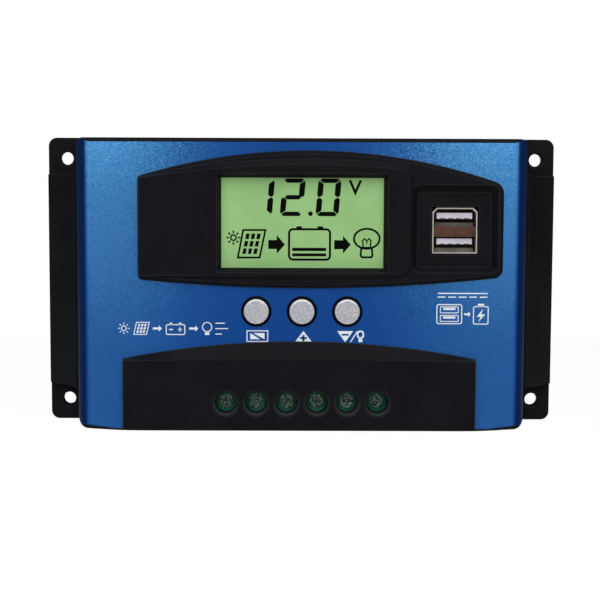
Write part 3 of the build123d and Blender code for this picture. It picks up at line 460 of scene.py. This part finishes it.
def rounded_box(x0, x1, z0, z1, r, width, steps=4):
    """Line round a rectangle with rounded corners."""
    left, right, low, high = x0 + r, x1 - r, z0 + r, z1 - r
    pts = []
    for cx, cz, first in ((right, low, -90), (right, high, 0), (left, high, 90), (left, low, 180)):
        for k in range(steps + 1):
            a = math.radians(first + 90 * k / steps)
            pts.append((cx + r * math.cos(a), cz + r * math.sin(a)))
    return ribbon(pts, width, closed=True)


def arrow(x0, x1, z, thick, head):
    """Solid arrow to the right."""
    neck = x1 - head * 0.44
    return [[(x0, z - thick / 2), (neck, z - thick / 2), (neck, z - head / 2), (x1, z), (neck, z + head / 2),
             (neck, z + thick / 2), (x0, z + thick / 2)]]


def sun(centre, core, near, far, width, rays=8):
    """Ring with rays round it."""
    shapes = [ring(centre, core, width)]
    for k in range(rays):
        turn = 2 * math.pi * k / rays
        c, s = math.cos(turn), math.sin(turn)
        shapes.append(ribbon([(centre[0] + near * c, centre[1] + near * s),
                              (centre[0] + far * c, centre[1] + far * s)], width))
    return shapes


def leaning_panel(foot, top, z0, z1, line):
    """Solar panel seen at a slant, with three rows of three cells."""
    def at(u, v):
        x_low = foot[0] + (foot[1] - foot[0]) * u
        x_high = top[0] + (top[1] - top[0]) * u
        return (x_low + (x_high - x_low) * v, z0 + (z1 - z0) * v)

    shapes = [ribbon([at(0, 0), at(1, 0), at(1, 1), at(0, 1)], line, closed=True)]
    for col in range(3):
        for row in range(3):
            u0, u1 = 0.17 + col * 0.25, 0.17 + col * 0.25 + 0.16
            v0, v1 = 0.13 + row * 0.27, 0.13 + row * 0.27 + 0.20
            shapes.append([[at(u0, v0), at(u1, v0), at(u1, v1), at(u0, v1)]])
    return shapes


def battery(box, corner, line, poles, pole_foot, pole_top):
    """Rounded box with its poles standing on it."""
    return [rounded_box(*box, corner, line)] + [bar(x0, x1, pole_foot, pole_top) for x0, x1 in poles]


# ------------------------------------------------------------------ pieces made from outlines
def keep_piece(made, name, finish):
    """A finished bmesh as a piece that rides on the case."""
    bmesh.ops.recalc_face_normals(made, faces=made.faces)
    mesh = bpy.data.meshes.new(name)
    made.to_mesh(mesh)
    made.free()
    piece = bpy.data.objects.new(name, mesh)
    bpy.context.scene.collection.objects.link(piece)
    mesh.materials.append(finish)
    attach(piece, "case")


def flat_piece(name, shapes, low, high, finish):
    """Plates cut from outline loops, between two heights above the wall."""
    made = bmesh.new()
    for loops in shapes:
        curve = bpy.data.curves.new("outline", "CURVE")
        curve.dimensions = "2D"
        curve.fill_mode = "BOTH"
        curve.extrude = (high - low) / 2 * MM
        for loop in loops:
            spline = curve.splines.new("POLY")
            spline.points.add(len(loop) - 1)
            for point, (x, z) in zip(spline.points, loop):
                point.co = (x * MM, z * MM, 0.0, 1.0)
            spline.use_cyclic_u = True
        holder = bpy.data.objects.new("outline", curve)
        mesh = bpy.data.meshes.new_from_object(holder)
        made.from_mesh(mesh)
        bpy.data.objects.remove(holder)
        bpy.data.meshes.remove(mesh)
        bpy.data.curves.remove(curve)
    bmesh.ops.remove_doubles(made, verts=made.verts, dist=1e-7)
    upright = Matrix.Translation((0, -(low + high) / 2 * MM, 0)) @ Matrix.Rotation(math.radians(90), 4, "X")
    bmesh.ops.transform(made, matrix=upright, verts=made.verts)
    keep_piece(made, name, finish)


def sleeve(name, centre, radii, heights, finish, wall=0.12, steps=48):
    """Thin cone-shaped lining of a round hole; radii and heights run from back to front."""
    made = bmesh.new()
    loops = []
    for thick in (0.0, wall):
        for radius, height in zip(radii, heights):
            points = round_points(centre, radius + thick, steps)
            loops.append([made.verts.new((x * MM, -height * MM, z * MM)) for x, z in points])
    for one, two in ((0, 1), (1, 3), (3, 2), (2, 0)):
        for k in range(steps):
            n = (k + 1) % steps
            face = made.faces.new((loops[one][k], loops[one][n], loops[two][n], loops[two][k]))
            face.smooth = True
    keep_piece(made, name, finish)


PRINT_T = 0.03            # thickness of print and of display segments
SIGN_T = 0.015            # signs stand this far above the print they are left open in
RELIEF_T = 0.12           # height of the raised pictures

# ------------------------------------------------------------------ display: seven-segment digits
DIGIT_W, DIGIT_H = 7.2, 11.7
DIGIT_LEAN = 1.0          # how far a digit's top leans to the right
DIGIT_FOOT = 22.2         # foot of the digits
SEG_V, SEG_H = 1.75, 1.35              # widths of upright and of level segments
DIGIT_AT = ((-16.6, "bc"), (-7.0, "abged"), (4.15, "abcdef"))      # left edge and lit segments: 1, 2, 0


def digit(x, lit):
    """Segment outlines of one digit; lit names its segments a to g."""
    w, h, mid = DIGIT_W, DIGIT_H, DIGIT_H / 2
    upright = [(0.0, h - 1.4), (0.35, h - 0.65), (SEG_V, h - SEG_H - 0.4), (SEG_V, mid + 0.75),
               (0.95, mid + 0.12), (0.4, mid + 0.16), (0.0, mid + 0.7)]
    cap = [(0.55, h - 0.5), (1.1, h), (w - 1.1, h), (w - 0.55, h - 0.5), (w - 1.5, h - SEG_H),
           (1.5, h - SEG_H)]
    waist = [(1.15, mid), (1.75, mid + SEG_H / 2), (w - 1.55, mid + SEG_H / 2), (w - 0.95, mid),
             (w - 1.55, mid - SEG_H / 2), (1.75, mid - SEG_H / 2)]

    def turned(points, across, down):
        return [(w - px if across else px, h - pz if down else pz) for px, pz in points]

    parts = {"a": cap, "b": turned(upright, True, False), "c": turned(upright, True, True),
             "d": turned(cap, False, True), "e": turned(upright, False, True), "f": upright, "g": waist}
    return [[[(x + px + DIGIT_LEAN * pz / h, DIGIT_FOOT + pz) for px, pz in parts[s]]] for s in lit]


digits = []
for x, lit in DIGIT_AT:
    digits += digit(x, lit)
digits += [[round_points((2.65, 22.95), 0.72, 24)]]                       # decimal point
digits += [ribbon([(14.9, 33.4), (16.6, 29.5), (18.3, 33.4)], 0.78)]      # V for volts
flat_piece("display_digits", digits, GLASS_FACE, GLASS_FACE + PRINT_T, segment_black)

# ------------------------------------------------------------------ display: sun on panel, battery, lamp
ICON_ROW = 13.3           # the arrows' height
LAMP_AT = (20.3, 15.2)
icons = sun((-21.4, 15.4), 0.85, 1.4, 2.2, 0.48)
icons += leaning_panel((-20.0, -13.2), (-18.35, -11.4), 9.2, 17.8, 0.58)
icons += [arrow(-10.5, -5.3, ICON_ROW, 2.8, 5.8), arrow(10.1, 15.3, ICON_ROW, 2.8, 5.6)]
icons += battery((-4.0, 8.8, 8.6, 18.1), 1.2, 0.68, ((-1.7, 0.0), (4.9, 6.6)), 18.1, 19.0)
icons += [bar(-3.0, 7.6, 11.3, 12.3), bar(-3.0, 7.6, 9.65, 10.55)]
lamp_neck = [(18.6, 12.5), (18.4, 9.9), (18.9, 9.4), (21.7, 9.4), (22.1, 9.9), (21.9, 12.5)]
lamp_wire = [(19.2, 12.4), (19.0, 14.6), (19.6, 15.2), (20.2, 14.6), (20.3, 13.6), (20.4, 14.6), (21.0, 15.2),
             (21.6, 14.6), (21.4, 12.4)]
icons += [ring(LAMP_AT, 4.0, 0.62, 36, 0.78), ribbon(lamp_neck, 0.62)]
icons += [ribbon(lamp_wire, 0.42), ribbon([(18.5, 12.4), (22.0, 12.4)], 0.55)]
flat_piece("display_icons", icons, GLASS_FACE, GLASS_FACE + PRINT_T, segment_black)

# ------------------------------------------------------------------ white print on the blue face
PRINT_FRONT = PAINT_FACE + PRINT_T

# Below the buttons: a screen sign, a plus, and a minus beside a lamp.
MARK_FOOT, MARK_TOP = -17.2, -13.75
marks = [ribbon([(-17.1, -17.1), (-10.6, -17.1), (-10.6, MARK_TOP), (-17.1, MARK_TOP)], 0.3, closed=True)]
marks += [[[(-16.1, -16.4), (-16.1, -14.45), (-13.0, -16.4)]]]
marks += [[[(-15.2, -14.45), (-11.6, -14.45), (-11.6, -16.4)]]]
marks += [[[(-2.0, MARK_FOOT), (3.2, MARK_FOOT), (0.6, MARK_TOP)]]]
marks += [[[(11.2, MARK_TOP), (16.2, MARK_TOP), (13.7, -17.25)]]]
marks += [ribbon([(15.4, MARK_FOOT), (17.5, -13.8)], 0.32)]
marks += [rounded_box(17.6, 19.4, -15.9, -13.8, 0.8, 0.5), bar(17.9, 19.1, MARK_FOOT, -16.0)]
flat_piece("button_marks", marks, PAINT_FACE, PRINT_FRONT, white_ink)
signs = [bar(0.22, 0.98, -17.0, -15.0), bar(-0.55, 1.75, -16.3, -15.65), bar(12.6, 14.8, -15.2, -14.6)]
flat_piece("button_mark_signs", signs, PRINT_FRONT, PRINT_FRONT + SIGN_T, sign_blue)

# At the left: sun on panel, battery, lamp and lines, in one row.
FLOW_ROW = -13.1
flow = sun((-55.7, FLOW_ROW), 0.75, 1.2, 1.85, 0.26)
flow += leaning_panel((-52.6, -48.6), (-51.7, -47.7), -15.0, -11.2, 0.26)
flow += [arrow(-46.6, -43.8, FLOW_ROW, 0.7, 2.0)]
flow += battery((-42.4, -36.6, -15.0, -11.9), 0.4, 0.3, ((-41.4, -40.5), (-38.5, -37.6)), -11.9, -11.3)
flow += [bar(-41.5, -40.3, -13.6, -13.25), bar(-38.7, -37.5, -13.6, -13.25)]
flow += [bar(-38.28, -37.92, -14.05, -12.8)]
flow += [arrow(-35.2, -32.4, FLOW_ROW, 0.7, 2.0)]
flow += [ring((-29.6, -12.6), 1.45, 0.3), bar(-30.3, -28.9, -15.1, -14.3)]
flow += [ribbon([(-27.0, z), (x, z)], 0.3) for x, z in ((-24.0, -11.4), (-23.0, FLOW_ROW), (-25.0, -14.8))]
flat_piece("flow_picture", flow, PAINT_FACE, PRINT_FRONT, white_ink)

# Below the outlet: direct-current lines over two sockets that charge a battery.
outlet = [rounded_box(42.4, 50.2, -11.3, -5.3, 0.6, 0.32)]
outlet += [rounded_box(43.5, 49.1, z, z + 1.9, 0.2, 0.26) for z in (-7.9, -10.6)]
outlet += [bar(44.4, 48.2, z, z + 0.7) for z in (-7.0, -9.7)]
outlet += [arrow(51.0, 53.0, -8.3, 0.6, 1.7)]
outlet += battery((53.9, 58.5, -11.4, -5.9), 0.5, 0.32, ((55.2, 57.2),), -5.9, -5.0)
outlet += [[[(56.9, -6.6), (54.9, -9.1), (56.1, -9.1), (55.4, -10.9), (57.5, -8.3), (56.3, -8.3)]]]
outlet += [bar(42.6, 58.2, -1.95, -1.6)]
outlet += [bar(42.6 + 3.3 * k, 45.0 + 3.3 * k, -3.1, -2.75) for k in range(5)]
flat_piece("outlet_mark", outlet, PAINT_FACE, PRINT_FRONT, white_ink)

# ------------------------------------------------------------------ faint raised pictures over the terminals
RELIEF_FOOT = -31.4
relief = []
for k in range(4):
    relief.append(ribbon([(-21.0 + 2.2 * k, RELIEF_FOOT), (-19.0 + 1.6 * k, RELIEF_FOOT + 5.8)], 0.45))
for v in (0.0, 0.5, 1.0):
    rise = RELIEF_FOOT + 5.8 * v
    relief.append(ribbon([(-21.0 + 2.0 * v, rise), (-14.4 + 0.2 * v, rise)], 0.35))
relief += battery((-3.2, 3.4, -31.0, -26.8), 0.4, 0.45, ((-2.3, -1.1), (1.3, 2.5)), -26.7, -26.0)
relief += [ring((19.4, -27.2), 1.9, 0.45), bar(18.5, 20.3, -31.0, -29.5)]
flat_piece("terminal_relief", relief, PLATEAU, PLATEAU + RELIEF_T, relief_black)

# ------------------------------------------------------------------ linings of the screw openings
OPENING_R, THROAT_R = 3.95, 3.05       # bores over the terminal screws, and the narrow end of their linings
LINING_GAP = 0.14                      # room in the bore for the lining's wall and a little air
for n in range(1, 7):
    low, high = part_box(f"terminal_screw_{n}")
    screw_at = ((low[0] + high[0]) / 2 / MM, (low[2] + high[2]) / 2 / MM)
    sleeve(f"screw_opening_{n}", screw_at, (THROAT_R, OPENING_R - LINING_GAP),
           (FASCIA_BACK + 0.1, PLATEAU - 0.35), zone_black)

# ------------------------------------------------------------------ inside the two sockets
TONGUE_T = 1.84
SPACER_DROP = 5.9                      # top of the divider below the top of the can
PLATE_T, PLATE_H = 0.2, 1.25           # spring plates: thickness and height
CONTACT_STEP = 2.5                     # from one contact to the next
SLOT_HALF = 0.85                       # half the width of a contact's slot

low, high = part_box("usb_tongues")
tongue_left, tongue_right = low[0] / MM, high[0] / MM
tongue_face = -low[1] / MM
tongue_mid = (tongue_left + tongue_right) / 2
# Painted shade: flat black patches on the tongues' ends stand for the shade in the contact slots.
slots = []
for foot in (low[2] / MM, high[2] / MM - TONGUE_T):
    for k in range(4):
        x = tongue_mid + (k - 1.5) * CONTACT_STEP
        slots += [bar(x - SLOT_HALF, x + SLOT_HALF, foot - 0.32, foot + 0.2)]
flat_piece("usb_tongue_slot_shade", slots, tongue_face, tongue_face + 0.02, black_epoxy)

# One plate stands in each socket, 1.1 mm behind the tongues' ends.
low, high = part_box("usb_shell")
plate_front = tongue_face - 1.1
plates = []
for foot in (low[2] / MM + 0.45, high[2] / MM - SPACER_DROP):
    plates += [bar(tongue_left - 0.5, tongue_right + 0.5, foot, foot + PLATE_H)]
flat_piece("usb_spring_plates", plates, plate_front - PLATE_T, plate_front, spring_steel)

# ------------------------------------------------------------------ floor and surroundings
# Matt paper sweep: an even white without shadow edges, whatever light falls on it.
FLOOR_Z = -0.60
PAPER_CLOUD = 300.0                   # clouding of the paper, in mm
floor_mesh = bpy.data.meshes.new("floor")
floor_mesh.from_pydata([(-3.0, 0.0, FLOOR_Z), (3.0, 0.0, FLOOR_Z), (3.0, 5.0, FLOOR_Z), (-3.0, 5.0, FLOOR_Z)],
                       [], [(0, 1, 2, 3)])
floor = bpy.data.objects.new("floor", floor_mesh)
bpy.context.scene.collection.objects.link(floor)
paper, tree, place = new_material("matt_paper")
cloud = add(tree, "TexNoise", {"Scale": per(PAPER_CLOUD)}, {"Vector": place})
tone = add(tree, "ValToRGB", links={"Fac": cloud}, stops=((0.3, "#DDDDDD"), (0.7, "#E4E4E4")))
surface = add(tree, "BsdfPrincipled", {"Roughness": 0.9, "Specular IOR Level": 0.1, "Emission Strength": 0.95,
                                       "Emission Color": rgb("#FFFFFF")}, {"Base Color": tone})
add(tree, "OutputMaterial", links={"Surface": surface})
floor_mesh.materials.append(paper)

# White to the eye, and a dim cool light to everything else.
world = bpy.data.worlds.new("studio")
bpy.context.scene.world = world
world.use_nodes = True
tree = world.node_tree
tree.nodes.clear()
seen = add(tree, "LightPath", out="Is Camera Ray")
white = add(tree, "Background", {"Color": rgb("#FFFFFF"), "Strength": 1.0})
dim = add(tree, "Background", {"Color": rgb("#E7F1FF"), "Strength": 0.035})
mixed = add(tree, "MixShader", links={0: seen, 1: dim, 2: white})
add(tree, "OutputWorld", links={"Surface": mixed})


# ------------------------------------------------------------------ light
def softbox(name, place, target, size, radiance):
    """A rectangular lamp of that radiance, turned to target."""
    light = bpy.data.lights.new(name, "AREA")
    light.shape = "RECTANGLE"
    light.size, light.size_y = size
    light.energy = radiance * math.pi * size[0] * size[1]
    holder = bpy.data.objects.new(name, light)
    holder.location = place
    holder.rotation_euler = (Vector(target) - Vector(place)).to_track_quat("-Z", "Y").to_euler()
    bpy.context.scene.collection.objects.link(holder)


# Three softboxes a side, dimmer lower down, leave the middle of the face dark. Two wide ones fill in.
INNER, BOX_W = 0.13, 0.85              # gap from the middle to the side boxes, and their width
BOX_Y = -0.95                          # how far in front of the wall the side boxes stand
LEVELS = (("high", 0.34, 0.56, 1.35), ("middle", -0.01, 0.14, 0.5), ("low", -0.21, 0.26, 0.16))
for name, side in (("left", -1.0), ("right", 1.0)):
    across = side * (INNER + BOX_W / 2)
    for level, mid, height, radiance in LEVELS:
        softbox(f"{name}_{level}_softbox", (across, BOX_Y, mid), (across, 0, mid), (BOX_W, height), radiance)
softbox("overhead_softbox", (0.0, -0.80, 0.95), (0, 0, 0), (2.0, 0.9), 2.6)
softbox("underneath_softbox", (0.0, -0.75, -0.85), (0, 0, 0), (1.6, 0.6), 1.6)

# ------------------------------------------------------------------ camera
CAMERA_AT = (-0.003178, -0.457771, 0.033292)
PITCH, YAW, ROLL = math.radians(5.03), math.radians(0.36), math.radians(0.23)
camera_data = bpy.data.cameras.new("camera")
camera_data.sensor_width = 36.0
camera_data.lens = 81.54
camera_data.clip_start = 0.01
camera = bpy.data.objects.new("camera", camera_data)
forward = Vector((math.sin(YAW) * math.cos(PITCH), math.cos(YAW) * math.cos(PITCH), -math.sin(PITCH)))
side = Vector((math.cos(YAW), -math.sin(YAW), 0.0))
up = side.cross(forward)
right = math.cos(ROLL) * side + math.sin(ROLL) * up
over = -math.sin(ROLL) * side + math.cos(ROLL) * up
turn = Matrix((right, over, -forward)).transposed().to_4x4()
camera.matrix_world = Matrix.Translation(CAMERA_AT) @ turn
bpy.context.scene.collection.objects.link(camera)
bpy.context.scene.camera = camera
bpy.context.scene.view_settings.view_transform = "Standard"
